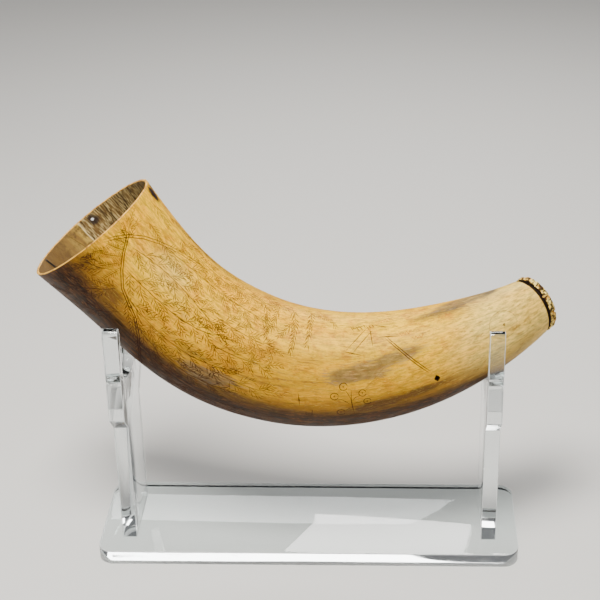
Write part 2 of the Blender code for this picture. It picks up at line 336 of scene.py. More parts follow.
trunkForm = {
    "trunk": ((9, 28), (13, 23), (18, 16), (25, 9), (34, 2), (44, -2), (54, -6), (63, -13), (71, -23), (76, -34),
              (79, -46)),
    "branch": ((3, 12), (7, 19), (12, 25), (20, 31), (30, 36), (42, 41), (56, 45), (70, 47)),
    # hatched twigs near the rim: start, heading, length
    "twigs": (((15, 21), 196, 10), ((17, 18), 208, 12), ((19, 15), 222, 14), ((21, 12), 238, 13),
              ((13, 24), 176, 8), ((24, 9), 262, 12), ((10, 12), 230, 10), ((8, 4), 214, 8)),
    "hatchGap": 1.15,
    "hatchLean": 58,
    "hatchLength": (2.2, 3.6),
    "hatchWidth": 0.44,
    "looseRows": 2,
    "looseCuts": 14,
}


def trunkLines(rng):
    # the trunk that the boughs grow from, the double branch that leaves it near the rim, and hatched twigs there
    t = trunkForm
    lines = doubleLine(t["trunk"], 1.2, 0.52, 1.0) + doubleLine(t["branch"], 1.7, 0.44, 0.9)
    for start, heading, length in t["twigs"]:
        stem = wander(start, heading, length, rng.uniform(-14, 14), 2.4, rng, 3.0)
        lines.append(line(stem, t["hatchWidth"], 0.95))
        for k in range(int(length / t["hatchGap"])):
            foot = alongStem(stem, k * t["hatchGap"] / length)[0]
            for lean in (t["hatchLean"], -t["hatchLean"]):
                cut = wander(foot, heading + lean + rng.uniform(-7, 7), rng.uniform(*t["hatchLength"]), 0, 2.0, rng)
                lines.append(line(cut, t["hatchWidth"], rng.uniform(0.85, 1.0)))
    for row in range(t["looseRows"]):
        for k in range(t["looseCuts"]):
            x = 6 + 1.8 * k + 3 * row + rng.uniform(-0.6, 0.6)
            y = 6 - 1.2 * k - 13 * row + rng.uniform(-2, 2)
            cut = wander((x, y), 236 + rng.uniform(-18, 18), rng.uniform(3, 6), 14, 2.0, rng)
            lines.append(line(cut, 0.4, rng.uniform(0.6, 0.95)))
    return lines


figureForm = {
    "plantStem": ((193, -15), (192.5, -9), (192.2, -3), (193, 3)),
    "plantTwigs": (((192.4, -8), (183, -1)), ((192.2, -4), (188.5, 5)), ((192.4, -5), (199, 0)),
                   ((192.8, -10), (186, -13)), ((192.6, -7), (201, -6))),
    "plantRing": (1.7, 2.3),
    "fan": (((208, 42), (190, 25)), ((211, 39), (194, 23)), ((208, 43), (209, 25)), ((208, 43), (225, 36)),
            ((213, 33), (227, 29)), ((194, 40), (206, 43)), ((189, 26), (203, 22))),
    "fanFeathers": 9,
    "pegRule": ((217, 32), (223, 24), (229, 15.8), (235, 7.5), (238.6, 2.4)),
    # a short upright cut, its cross cut and a small frame: points, width, ink
    "cuts": ((((162, 1), (163, -4), (163.5, -9)), 0.62, 1.0),
             (((161.5, -4), (165, -5)), 0.46, 0.8),
             (((167, -11), (170.5, -11.2), (170.3, -16), (167.2, -16), (167, -11.3)), 0.42, 0.8)),
    "scribbles": ((214, 44), (226, 30), (233, 25), (252, 32)),
    "circle": (283.6, 10.3),
    "circleRadius": 8.0,
    "prick": (284, 10.0),
    "looseRows": 5,
    "looseCuts": 16,
}


def smallFigures(rng):
    f = figureForm
    # a slender plant with ringed ends
    lines = [line(f["plantStem"], 0.6, 1.0)]
    for root, tip in f["plantTwigs"]:
        size = rng.uniform(*f["plantRing"])
        away = math.hypot(tip[0] - root[0], tip[1] - root[1])
        meet = (tip[0] - (tip[0] - root[0]) / away * size, tip[1] - (tip[1] - root[1]) / away * size)
        middle = ((root[0] + meet[0]) / 2, (root[1] + meet[1]) / 2 + 0.8)
        lines.append(line([root, middle, meet], 0.5, 0.95))
        lines.append(ring(tip, size, 0.46, 1.0, rng))
        lines.append(ring(tip, 0.35, 0.45, 1.0, rng, 0.0, 0.02, 6))
    x, y = f["plantStem"][0]
    lines.append(line([(x - 4, y - 1), (x, y), (x + 4, y - 1.4)], 0.46, 0.8))
    # a fan of faint rules, some with feathered ends
    for start, end in f["fan"]:
        lines.append(line([start, ((start[0] + end[0]) / 2, (start[1] + end[1]) / 2), end], 0.58, 0.95))
    for k in range(f["fanFeathers"]):
        start = (194 + 1.9 * k, 43 + rng.uniform(-1, 1))
        lines.append(line(wander(start, -58 + rng.uniform(-8, 8), rng.uniform(3, 6), 0, 2.5, rng), 0.58, 0.85))
    # a long oblique double rule that ends at the peg hole
    lines += doubleLine(f["pegRule"], 1.2, 0.52, 1.0)
    lines += [line(*cut) for cut in f["cuts"]]
    # rust-coloured scribbles
    for x, y in f["scribbles"]:
        zigzag = [(x + 1.1 * k, y + (1.1 if k % 2 else -0.7) + rng.uniform(-0.3, 0.3)) for k in range(9)]
        lines.append(line(zigzag, 0.6, 0.7, 0.9))
    # a scribed circle with its centre prick
    lines.append(ring(f["circle"], f["circleRadius"], 0.34, 0.5, rng, 0.2, 0.014, 34))
    lines.append(ring(f["prick"], 0.5, 0.6, 1.0, rng, 0.0, 0.02, 7))
    # loose rows of short cuts along the lower side
    for row in range(f["looseRows"]):
        for k in range(f["looseCuts"]):
            start = (92 + 4.3 * k + rng.uniform(-1.5, 1.5), -30 + 7.5 * row - 0.10 * k + rng.uniform(-2.2, 2.2))
            cut = wander(start, rng.uniform(-24, 16), rng.uniform(3, 7), rng.uniform(-16, 16), 2.5, rng)
            lines.append(line(cut, 0.38, rng.uniform(0.3, 0.75)))
    return lines


scratchForm = {
    "count": 150,
    "along": (8, 296),
    "round": (-70, 75),
    "tilt": 16,
    "length": (5, 22),
    "bend": (-10, 10),
    "width": (0.16, 0.26),
    "ink": (0.12, 0.4),
    "pegCount": 26,
    "pegAlong": (195, 250),
    "pegRound": (-4, 14),
}


def scratches(rng):
    # fine age scratches, mostly along the grain, with more of them beside the peg hole
    s = scratchForm
    lines = []
    for _ in range(s["count"]):
        start = (rng.uniform(*s["along"]), rng.uniform(*s["round"]))
        heading = rng.gauss(0, s["tilt"])
        cut = wander(start, heading, rng.uniform(*s["length"]), rng.uniform(*s["bend"]), 4.0, rng)
        lines.append(line(cut, rng.uniform(*s["width"]), rng.uniform(*s["ink"])))
    for _ in range(s["pegCount"]):
        start = (rng.uniform(*s["pegAlong"]), rng.uniform(*s["pegRound"]))
        lines.append(line(wander(start, rng.uniform(150, 215), rng.uniform(4, 12), 0, 4.0, rng), 0.2, 0.3))
    return lines


seeds = {"engraving": 1776, "cracks": 5}


def allEngraving():
    rng = random.Random(seeds["engraving"])
    lines = trunkLines(rng)
    for start, heading, length, bend, twigs, twigLength, scale, ink in boughs:
        lines += bough(start, heading, length, bend, rng, twigs, twigLength, scale, ink)
    for start, heading, length, bend, scale, ink in sprays:
        lines += spray(start, heading, length, bend, rng, scale, ink)
    return lines + smallFigures(rng) + scratches(rng)


# The unrolled sheet runs along the horn and once round it, from the far side over the front to the far side.
skinSheet = {
    "startMm": 0.6,
    "lengthMm": 311.0,
    "roundMm": 240.0,
    "alongSteps": 96,
    "roundSteps": 96,
    "endRoundSteps": 192,
    "seamAngle": 90.0,
    "grooveDepthMm": 0.13,
    "clearOfEndsMm": 1.6,
    "clearOfSeamMm": 3.0,
    "gridGapMm": 0.45,    # plain grid points closer than this to a cut are left out
    "faintDepth": 0.45,    # share of the depth that the faintest cut has
    "weldMm": 1e-4,
    "cutFlatness": 0.65,    # how far a cut's corners follow its own faces, against the skin round it
    "sharpAngle": 42,
}
innerSheet = dict(skinSheet, alongSteps=70, grooveDepthMm=0.8, clearOfEndsMm=0.4)


def sheetAngle(y):
    return np.radians(skinSheet["seamAngle"] + 360.0 * np.asarray(y) / skinSheet["roundMm"])


def drawnHeight(angle, girthMm):
    # the other way: the drawing's second coordinate for an angle in degrees
    return ((angle - 270 + 180) % 360 - 180) / 360 * girthMm


def ontoSheet(x, y):
    # drawing millimetres to sheet millimetres: the sheet's width stands for the girth at that place
    share = np.clip(np.asarray(x) / skinSheet["lengthMm"], 0, 1)
    return np.asarray(x), skinSheet["roundMm"] / 2 + np.asarray(y) * skinSheet["roundMm"] / (girthAt(share) * 1000)


def trimmed(points, s):
    # the first run of a line that keeps clear of the sheet's ends and its seam
    ends, seam = s["clearOfEndsMm"], s["clearOfSeamMm"]
    kept = []
    for x, y in points:
        _, v = ontoSheet(x, y)
        if s["startMm"] + ends < x < s["lengthMm"] - ends and seam < v < s["roundMm"] - seam:
            kept.append((x, y))
        elif kept:
            break
    return kept


def cutOutline(points, width):
    # a pointed cut: its two sides and its middle, as drawing points
    if len(points) == 2:
        points = [points[0], ((points[0][0] + points[1][0]) / 2, (points[0][1] + points[1][1]) / 2), points[1]]
    p = np.array(points, float)
    run = np.gradient(p, axis=0)
    run /= np.maximum(np.linalg.norm(run, axis=1, keepdims=True), 1e-9)
    side = np.stack([-run[:, 1], run[:, 0]], axis=1) * width / 2
    return p, p + side, p - side


def buildSkin(lines, holes, sheet, insetOf):
    # triangulates the unrolled sheet round every cut and hole, and gives shares, angles, insets and faces
    xs = np.linspace(sheet["startMm"], sheet["lengthMm"], sheet["alongSteps"] + 1)
    ys = np.linspace(0, sheet["roundMm"], sheet["roundSteps"] + 1)
    points, links, polygons, facts, near = [], [], [], [], []
    for item in lines:
        kept = trimmed(item["points"], sheet)
        if len(kept) < 2:
            continue
        middle, left, right = (np.stack(ontoSheet(q[:, 0], q[:, 1]), axis=1)
                               for q in cutOutline(kept, item["width"]))
        first = len(points)
        count = len(middle)
        points += [tuple(q) for q in middle]
        leftFirst = len(points)
        points += [tuple(q) for q in left[1:-1]]
        rightFirst = len(points)
        points += [tuple(q) for q in right[1:-1]]
        links += [(first + k, first + k + 1) for k in range(count - 1)]
        outline = [first] + [rightFirst + k for k in range(count - 2)] + [first + count - 1]
        outline += [leftFirst + k for k in reversed(range(count - 2))]
        polygons.append(outline)
        facts.append(item)
        near += [tuple(q) for q in np.concatenate([middle, left[1:-1], right[1:-1]])]
    holePoints = []
    for hole in holes:
        holePoints.append(list(range(len(points), len(points) + len(hole))))
        points += [tuple(q) for q in hole]
        near += [tuple(q) for q in hole]
    polygons += holePoints
    tree = kdtree.KDTree(len(near))
    for k, (x, y) in enumerate(near):
        tree.insert((x, y, 0), k)
    tree.balance()
    for i, x in enumerate(xs):
        for j, y in enumerate(ys):
            edge = i in (0, len(xs) - 1) or j in (0, len(ys) - 1)
            if edge or tree.find((x, y, 0))[2] > sheet["gridGapMm"]:
                points.append((x, y))
    for k in range(sheet["endRoundSteps"] + 1):
        y = sheet["roundMm"] * k / sheet["endRoundSteps"]
        if np.abs(ys - y).min() > 1e-6:
            points.append((xs[-1], y))
    spots, _, triangles, sources, _, owners = delaunay_2d_cdt([Vector(p) for p in points], links, polygons,
                                                              0, 1e-5, True)
    spots = np.array([tuple(p) for p in spots])
    newIndex = {original: k for k, originals in enumerate(sources) for original in originals}
    ink = np.zeros(len(triangles))
    rust = np.zeros(len(triangles))
    keep = np.ones(len(triangles), bool)
    for k, owner in enumerate(owners):
        for one in owner:
            if one >= len(facts):
                keep[k] = False    # this face fills a hole
            else:
                ink[k] = max(ink[k], facts[one]["ink"])
                rust[k] = max(rust[k], facts[one]["rust"])
    corners = np.array([list(t) for t in triangles])
    cut = ink > 0
    inside = np.ones(len(spots), bool)
    inside[corners[~cut].ravel()] = False
    depth = np.zeros(len(spots))
    faint = sheet["faintDepth"]
    np.maximum.at(depth, corners[cut].ravel(), np.repeat(faint + (1 - faint) * ink[cut], 3))
    depth = np.where(inside, depth, 0.0) * sheet["grooveDepthMm"] / 1000
    share = np.clip(spots[:, 0] / sheet["lengthMm"], 0, 1)
    angle = sheetAngle(spots[:, 1])
    base = insetOf(share, angle)
    rims = [[newIndex[q] for q in hole] for hole in holePoints]
    return {"spots": spots, "share": share, "angle": angle, "inset": base + depth, "corners": corners[keep],
            "ink": ink[keep], "rust": rust[keep], "rims": rims, "base": base}


def smoothNormals(share, angle, insetOf, inwards=False):
    # normals of the plain curved surface, so that the fine triangles between the cuts don't show
    step, turn = 0.002, 0.01
    low, high = np.clip(share - step, 0, 1), np.clip(share + step, 0, 1)
    before, after = angle - turn, angle + turn
    alongRun = hornPoints(high, angle, insetOf(high, angle)) - hornPoints(low, angle, insetOf(low, angle))
    roundRun = hornPoints(share, after, insetOf(share, after)) - hornPoints(share, before, insetOf(share, before))
    normals = np.cross(roundRun, alongRun)
    normals /= np.linalg.norm(normals, axis=1, keepdims=True)
    centre = hornPoints(share, angle, radiusAt(share))
    outward = hornPoints(share, angle) - centre
    flip = np.sign((normals * outward).sum(axis=1, keepdims=True))
    return normals * flip * (-1 if inwards else 1)


def holeOutline(h, share, grow=1.0):
    # a hole's outline on the sheet; a low power gives a diamond, 2 an ellipse
    middle = (h["angle"] - skinSheet["seamAngle"]) % 360 / 360 * skinSheet["roundMm"]
    scale = skinSheet["roundMm"] / (float(girthAt(share)) * 1000)
    outline = []
    for k in range(h["count"]):
        turn = 2 * math.pi * k / h["count"]
        c, s = math.cos(turn), math.sin(turn)
        x = math.copysign(abs(c) ** (2 / h["power"]), c) * h["lengthMm"] / 2
        y = math.copysign(abs(s) ** (2 / h["power"]), s) * h["widthMm"] / 2 * scale * grow
        outline.append((h["alongMm"] + x, middle + y))
    return outline


# the peg hole near the small end and the nail hole near the mouth
holeFacts = (
    {"alongMm": 241.0, "angle": 265.0, "widthMm": 4.4, "lengthMm": 3.4, "count": 16, "power": 1.15},
    {"alongMm": 4.5, "angle": 105.0, "widthMm": 2.0, "lengthMm": 2.0, "count": 14, "power": 2.0},
)

carvedEnd = {
    "collarDiameter": 0.0384,
    "reach": 0.0085,
    "grooveDepth": 0.0024,
    "grooveWidth": 0.0024,
    "grooveNarrowest": 0.0006,
    "edge": 0.0007,
    "wear": 0.0005,
    "chipSize": 0.0011,
    # bumps: noise scale and seed
    "fineChips": (900.0, 3.1),
    "broadChips": (330.0, 7.7),
    "nicks": (520.0, 12.3),
    "edgeRings": 2,
    "grooveRings": 8,
}


def bumpsAt(place, scale, seed):
    # repeatable bumps between -1 and 1 at points, from noise in space
    return np.array([noise.noise(Vector(p) * scale + Vector((seed, 0, 0))) for p in place])


def carvedRings(angles):
    # rings past the plain surface: edge, groove, and the worn ragged collar, down to the bore
    c = carvedEnd
    radius = float(radiusAt(1.0))
    collar = c["collarDiameter"] / 2
    bore = radius - float(wallAt(1.0))
    width = c["grooveNarrowest"] + (c["grooveWidth"] - c["grooveNarrowest"]) * (0.5 + 0.5 * np.cos(angles))
    edge = c["edge"]
    floor = radius - c["grooveDepth"]
    face = c["reach"] - c["wear"]
    start = 2 * edge + width
    # reach from the centre line, distance past the end, share of chips, share of nicks
    steps = [
        (radius - 0.3 * edge, 0.45 * edge, 0.02, 0.0),
        (radius - edge, edge, 0.05, 0.0),
        (floor + 0.4 * edge, 1.25 * edge, 0.1, 0.0),
        (floor, 1.5 * edge, 0.1, 0.0),
        (floor, 1.5 * edge + 0.5 * width, 0.15, 0.0),
        (floor, 1.5 * edge + width, 0.1, 0.0),
        (collar - 1.2 * edge, start + 0.1 * edge, 0.5, 0.3),
        (collar - 0.5 * edge, start + 0.5 * edge, 0.9, 0.5),
    ]
    for t in (0.0, 0.25, 0.5, 0.75, 1.0):
        steps.append((collar - 0.2 * edge * abs(2 * t - 1), start + edge + (face - 0.9 * edge - start - edge) * t,
                      1.0, 0.5))
    steps += [
        (collar - 0.5 * edge, face - 0.45 * edge, 1.0, 0.8),
        (collar - 1.3 * edge, face - 0.1 * edge, 0.8, 1.0),
        ((collar + bore) / 2, face, 0.5, 1.0),
        (bore + 0.5 * edge, face - 0.05 * edge, 0.5, 0.8),
        (bore, face - 0.5 * edge, 0.3, 0.4),
    ]
    share = np.ones_like(angles)
    rings = []
    for k, (reach, ahead, chip, nick) in enumerate(steps):
        ahead = np.zeros_like(angles) + ahead
        plain = hornPoints(share, angles, radius - reach, ahead)
        bumps = bumpsAt(plain, *c["fineChips"]) * 0.6 + bumpsAt(plain, *c["broadChips"]) * 0.7
        nicks = np.clip(bumpsAt(plain, *c["nicks"]) - 0.12, 0, 1) * 2.2
        inset = radius - reach + c["chipSize"] * chip * (np.clip(bumps, -1, 1) * 0.5 + 0.5 + nicks * 0.9)
        ahead = ahead - c["chipSize"] * nick * (0.5 - 0.5 * np.clip(bumps, -1, 1) + nicks)
        rings.append((hornPoints(share, angles, inset, ahead), ahead))
    return rings


rimForm = {"wear": 0.00012, "unevenWear": 0.00016}


def rimRings(angles):
    # the thin rim at the mouth, a little rounded and worn, from outside to inside
    wall = float(wallAt(0.0))
    plain = hornPoints(np.zeros_like(angles), angles)
    wear = rimForm["wear"] + rimForm["unevenWear"] * (bumpsAt(plain, 160.0, 5.0) + 0.5 * bumpsAt(plain, 420.0, 9.0))
    wear = np.clip(wear, 0, None)
    rings = []
    for inset, back in ((0.00010, 0.00032), (0.00030, 0.00010), (wall / 2, 0.0), (wall - 0.00030, 0.00008),
                        (wall - 0.00008, 0.00030)):
        share = (back + wear) / hornForm["length"]
        rings.append(hornPoints(share, angles, np.zeros_like(angles) + inset))
    return rings


# Soft patches on the drawing sheet: along, round, half length, half width, strength.
toneZones = {
    # the amber patches along the lower side are a darker patina together with painted shade, darkest towards the
    # belly's edge
    "amberAndShade": (
        (0, -22, 26, 26, 0.7), (34, -36, 40, 28, 0.7), (8, 0, 14, 14, 0.25), (60, -58, 46, 34, 2.1),
        (110, -58, 50, 34, 2.1), (160, -58, 50, 34, 2.1), (210, -56, 50, 33, 2.1), (255, -52, 44, 30, 2.3),
        (290, -46, 30, 22, 0.8), (8, -64, 60, 36, 1.2), (120, -20, 110, 34, 0.22), (220, -16, 60, 26, 0.2),
        (120, 66, 90, 9, 0.4),
    ),
    # the straw patches make the small end paler; the one at 46 along and 28 round is a painted highlight
    "strawAndHighlight": (
        (268, -2, 26, 24, 0.7), (300, 4, 26, 70, 1.0), (309, 0, 6, 200, 1.0), (46, 28, 24, 16, 0.6),
        (300, 80, 40, 40, 0.6),
    ),
    "smudge": (
        (8, 63, 6.5, 4.0, 1.35), (5, 72, 4, 4, 0.8), (4.5, -115, 3.0, 3.0, 1.4), (284, 40, 4, 1.6, 0.7),
    ),
    "scuff": (
        (199, 13.5, 16, 4.5, 1.0), (188, 10.5, 10, 4, 0.8), (219, 17.5, 14, 4, 1.0), (232, 18, 10, 3, 0.6),
        (206, 9, 16, 3, 0.5), (104, -8, 14, 5, 1.2), (119, -4, 13, 4, 0.8), (150, 10, 20, 4, 0.25),
        (72, 14, 10, 6, 0.4), (30, 34, 12, 8, 0.35), (267, 40, 11, 5.5, 1.25), (286, 39, 9, 6, 1.4),
        (276, 40, 22, 4, 0.5), (252, 42, 10, 4, 0.3), (234, 26, 10, 5, 0.3),
    ),
    "stain": (
        (196, -12, 12, 3, 0.6), (210, -9, 16, 3.6, 1.0), (232, -7, 10, 3, 0.8), (250, -6, 16, 3, 0.5),
        (246, 38, 14, 3.0, 0.8), (262, 35, 12, 3, 0.6), (289, 37, 5, 2.2, 0.9), (285, -14, 12, 4, 0.4),
        (60, 62, 30, 3, 0.6), (100, 60, 26, 2.5, 0.4), (150, -14, 26, 3, 0.6), (172, -18, 24, 3, 0.6),
        (120, -12, 24, 3.5, 0.6), (92, -16, 20, 4, 0.6), (60, -18, 20, 4, 0.6), (34, -5, 12, 7, 0.9),
        (130, 2, 46, 5, 0.5), (88, 0, 20, 5, 0.4), (150, 20, 40, 7, 0.5), (112, 12, 30, 6, 0.4),
        (196, 22, 24, 5, 0.35), (170, 8, 40, 5, 0.4), (276, 30, 30, 6, 0.45), (300, 0, 8, 6, 0.3),
        (292, -8, 12, 5, 0.4), (140, -60, 30, 5, 0.5), (200, -70, 30, 5, 0.4), (80, 90, 40, 6, 0.4),
        (180, 80, 40, 5, 0.4),
    ),
}


zoneLimit = 1.4


def zoneStrength(zones, share, angle):
    # how strongly each point lies in these patches, wrapping round the horn
    x = share * skinSheet["lengthMm"]
    girth = girthAt(share) * 1000
    y = drawnHeight(np.degrees(angle), girth)
    total = np.zeros_like(share)
    for along, around, halfLength, halfWidth, strength in zones:
        gap = (y - around + girth / 2) % girth - girth / 2
        total += strength * np.exp(-((x - along) / halfLength) ** 2 - (gap / halfWidth) ** 2)
    return np.clip(total, 0, zoneLimit)


def innerInset(share, angle):
    return wallAt(share) + 0.4 * swell(share, angle + 1.0)


# cracks that run in from the rim: angle, start, length, width, depth
innerCracks = ((164, 1.2, 34, 1.7, 1.0), (128, 3, 18, 0.3, 0.5), (60, 3, 16, 0.3, 0.5))
crackShare = 0.03    # where along the horn the cracks' places round it are measured


def innerMarks():
    rng = random.Random(seeds["cracks"])
    girth = float(girthAt(crackShare)) * 1000
    marks = []
    for angle, start, length, width, ink in innerCracks:
        y = drawnHeight(angle, girth)
        run = wander((start + 0.6, y), 3, length, -8, 3.0, rng, 5.0)
        marks.append(line([(start, y)] + run, width, ink))
    return marks


def ringAngles(steps):
    return np.radians(skinSheet["seamAngle"]) + np.linspace(0, 2 * math.pi, steps, endpoint=False)


def makeHornMesh():
    angles, endAngles = ringAngles(skinSheet["roundSteps"]), ringAngles(skinSheet["endRoundSteps"])
    outerHoles, innerHoles = [], []
    for hole in holeFacts:
        share = hole["alongMm"] / skinSheet["lengthMm"]
        grow = float(radiusAt(share) / (radiusAt(share) - wallAt(share)))
        outerHoles.append(holeOutline(hole, share))
        innerHoles.append(holeOutline(hole, share, grow))
    lines = allEngraving()
    outer = buildSkin(lines, outerHoles, skinSheet, swell)
    print("outer skin:", len(lines), "cuts,", len(outer["corners"]), "triangles")
    inner = buildSkin(innerMarks(), innerHoles, innerSheet, innerInset)
    print("inner skin:", len(inner["corners"]), "triangles")

    places, straight, shares, turns, faces = [], [], [], [], []
    faceInk, faceRust, faceSlot, faceSmooth = [], [], [], []
    normalOf = {}
    cutFace, plainFace, carvedFace = 0, 1, 2    # how a face's corners get their normals
    skinSlot, insideSlot, collarSlot, rimAndSheenSlot = 0, 1, 2, 3    # the order of the horn's materials

    def addPoints(place, share, angle, reach):
        first = len(places)
        places.extend(place)
        shares.extend(share)
        turns.extend(angle)
        straight.extend(np.stack([share * hornForm["length"], reach * np.cos(angle), reach * np.sin(angle)], axis=1))
        return first

    def addSkin(skin, inwards, insetOf, slot):
        # welds the two edges of the sheet together where they meet on the far side
        spots, weld = skin["spots"], skinSheet["weldMm"]
        seam = {round(x, 4): k for k, (x, y) in enumerate(spots) if y < weld}
        first = addPoints(hornPoints(skin["share"], skin["angle"], skin["inset"]), skin["share"], skin["angle"],
                          radiusAt(skin["share"]) - skin["base"])
        index = np.arange(len(spots))
        for k, (x, y) in enumerate(spots):
            if y > skinSheet["roundMm"] - weld:
                index[k] = seam[round(x, 4)]
        normals = smoothNormals(skin["share"], skin["angle"], insetOf, inwards)
        for k in range(len(spots)):
            normalOf[first + k] = normals[k]
        corners = index[skin["corners"]] + first
        if inwards:
            corners = corners[:, ::-1]
        for k, triangle in enumerate(corners):
            faces.append(tuple(int(q) for q in triangle))
            faceInk.append(skin["ink"][k])
            faceRust.append(skin["rust"][k])
            faceSlot.append(slot)
            faceSmooth.append(cutFace if skin["ink"][k] > 0 else plainFace)
        rims = [[int(index[q]) + first for q in rim] for rim in skin["rims"]]

        def border(x, count):
            # the sheet's end as a ring in order round the horn
            row = [(round(float(spots[k][1]), 4), int(index[k]) + first) for k in range(len(spots))
                   if abs(spots[k][0] - x) < weld and spots[k][1] < skinSheet["roundMm"] - weld]
            assert len(row) == count, (len(row), count)
            return [q for _, q in sorted(row)]

        return (rims, border(skinSheet["startMm"], skinSheet["roundSteps"]),
                border(skinSheet["lengthMm"], skinSheet["endRoundSteps"]))

    def bridge(ringA, ringB, slot, ink=0.0):
        for k in range(len(ringA)):
            n = (k + 1) % len(ringA)
            faces.append((ringA[k], ringA[n], ringB[n], ringB[k]))
            faceInk.append(ink)
            faceRust.append(0.0)
            faceSlot.append(slot)
            faceSmooth.append(carvedFace)

    outerRims, outerMouth, outerEnd = addSkin(outer, False, swell, skinSlot)
    innerRims, innerMouth, innerEnd = addSkin(inner, True, innerInset, insideSlot)

    chain = [outerMouth]
    for place in rimRings(angles):
        first = addPoints(place, np.zeros_like(angles), angles, radiusAt(np.zeros_like(angles)))
        chain.append(list(range(first, first + len(angles))))
    chain.append(innerMouth)
    for a, b in zip(chain, chain[1:]):
        bridge(b, a, rimAndSheenSlot)

    chain = [outerEnd]
    for place, ahead in carvedRings(endAngles):
        first = addPoints(place, 1.0 + ahead / hornForm["length"], endAngles, radiusAt(np.ones_like(endAngles)))
        chain.append(list(range(first, first + len(endAngles))))
    chain.append(innerEnd)
    for k, (a, b) in enumerate(zip(chain, chain[1:])):
        onSheenEdge = k < carvedEnd["edgeRings"]
        groove = carvedEnd["edgeRings"] <= k < carvedEnd["grooveRings"]
        # the small end's rounded edge takes the rim's pale colour as a painted highlight
        bridge(a, b, rimAndSheenSlot if onSheenEdge else collarSlot, 1.0 if groove else 0.0)
    for rimA, rimB in zip(outerRims, innerRims):
        bridge(rimA, rimB, skinSlot, 0.9)    # the holes' walls are dark

    mesh = bpy.data.meshes.new("engravedHorn")
    mesh.from_pydata([tuple(p) for p in places], [], faces)
    bm = bmesh.new()
    bm.from_mesh(mesh)
    kept = [k for k, v in enumerate(bm.verts) if v.link_faces]
    bmesh.ops.delete(bm, geom=[v for v in bm.verts if not v.link_faces], context="VERTS")
    openEdges = sum(1 for e in bm.edges if len(e.link_faces) != 2)
    bmesh.ops.recalc_face_normals(bm, faces=bm.faces)
    bm.to_mesh(mesh)
    bm.free()
    print("horn mesh:", len(mesh.polygons), "faces,", openEdges, "open edges")

    def pointLayer(name, kind, values):
        layer = mesh.attributes.new(name, kind, "POINT")
        layer.data.foreach_set("vector" if kind == "FLOAT_VECTOR" else "value", np.asarray(values, np.float32).ravel())

    def faceLayer(name, values):
        layer = mesh.attributes.new(name, "FLOAT", "FACE")
        layer.data.foreach_set("value", np.asarray(values, np.float32))

    keptShares = np.array(shares)[kept]
    keptTurns = np.array(turns)[kept]
    pointLayer("straightened", "FLOAT_VECTOR", np.array(straight)[kept])
    for name, zones in toneZones.items():
        pointLayer(name, "FLOAT", zoneStrength(zones, np.clip(keptShares, 0, 1), keptTurns))
    pointLayer("turned", "FLOAT", np.degrees(keptTurns) % 360 / 360)
    faceLayer("ink", faceInk)
    faceLayer("rust", faceRust)
    mesh.polygons.foreach_set("material_index", np.array(faceSlot, np.int32))

    mesh.shade_smooth()
    mesh.set_sharp_from_angle(angle=math.radians(skinSheet["sharpAngle"]))
    flat = skinSheet["cutFlatness"]
    corner = np.zeros(len(mesh.loops) * 3, np.float32)
    mesh.corner_normals.foreach_get("vector", corner)
    corner = corner.reshape(-1, 3)
    for polygon in mesh.polygons:
        kind = faceSmooth[polygon.index]
        if kind == carvedFace:
            continue
        for k in polygon.loop_indices:
            smooth = normalOf[kept[mesh.loops[k].vertex_index]]
            corner[k] = smooth if kind == plainFace else (1 - flat) * smooth + flat * np.array(polygon.normal)
    mesh.normals_split_custom_set(corner.tolist())
    return mesh


def fromScreen(red, green, blue):
    # screen colour, 0 to 255, to the light values that shaders use
    def lift(c):
        c /= 255
        return c / 12.92 if c <= 0.04045 else ((c + 0.055) / 1.055) ** 2.4
    return (lift(red), lift(green), lift(blue), 1.0)


nodeRows = {"length": 10, "stepX": 200, "stepY": -320}


def feed(tree, socket, value):
    # links an input to another node's output, or sets its own number or colour
    if isinstance(value, bpy.types.NodeSocket):
        tree.links.new(value, socket)
    else:
        socket.default_value = value


def put(tree, kind, **settings):
    # a new node, set out in rows; in_From_Min feeds its input called From Min
    node = tree.nodes.new(kind)
    row, column = divmod(len(tree.nodes), nodeRows["length"])
    node.location = (column * nodeRows["stepX"], row * nodeRows["stepY"])
    for name, value in settings.items():
        if name.startswith("in_"):
            feed(tree, node.inputs[name[3:].replace("_", " ")], value)
        else:
            setattr(node, name, value)
    return node


def mixColour(tree, factor, colourA, colourB, mode="MIX"):
    # a colour mix; each of the three may be a socket or a plain value
    node = put(tree, "ShaderNodeMix", data_type="RGBA", blend_type=mode, clamp_factor=True)
    for index, value in ((0, factor), (6, colourA), (7, colourB)):
        feed(tree, node.inputs[index], value)
    return node.outputs[2]


def sums(tree, operation, first, second=0.0, third=0.0, clamp=False):
    node = put(tree, "ShaderNodeMath", operation=operation, use_clamp=clamp)
    for socket, value in zip(node.inputs, (first, second, third)):
        feed(tree, socket, value)
    return node.outputs[0]


def times(tree, first, second):
    return sums(tree, "MULTIPLY", first, second)


def timesPlus(tree, first, second, third, clamp=False):
    return sums(tree, "MULTIPLY_ADD", first, second, third, clamp)


def spread(tree, value, low, high, outLow=0.0, outHigh=1.0):
    # eases a value from one range to another
    node = put(tree, "ShaderNodeMapRange", interpolation_type="SMOOTHSTEP", in_Value=value, in_From_Min=low,
               in_From_Max=high, in_To_Min=outLow, in_To_Max=outHigh)
    return node.outputs["Result"]


def noiseAt(tree, vector, scale, detail, roughness=0.5):
    node = put(tree, "ShaderNodeTexNoise", in_Vector=vector, in_Scale=scale, in_Detail=detail,
               in_Roughness=roughness)
    return node.outputs["Fac"]


def shaded(tree, colour, value, amount):
    # darkens and lightens a colour by a grey value
    grey = put(tree, "ShaderNodeCombineColor", in_Red=value, in_Green=value, in_Blue=value).outputs[0]
    return mixColour(tree, amount, colour, grey, "MULTIPLY")


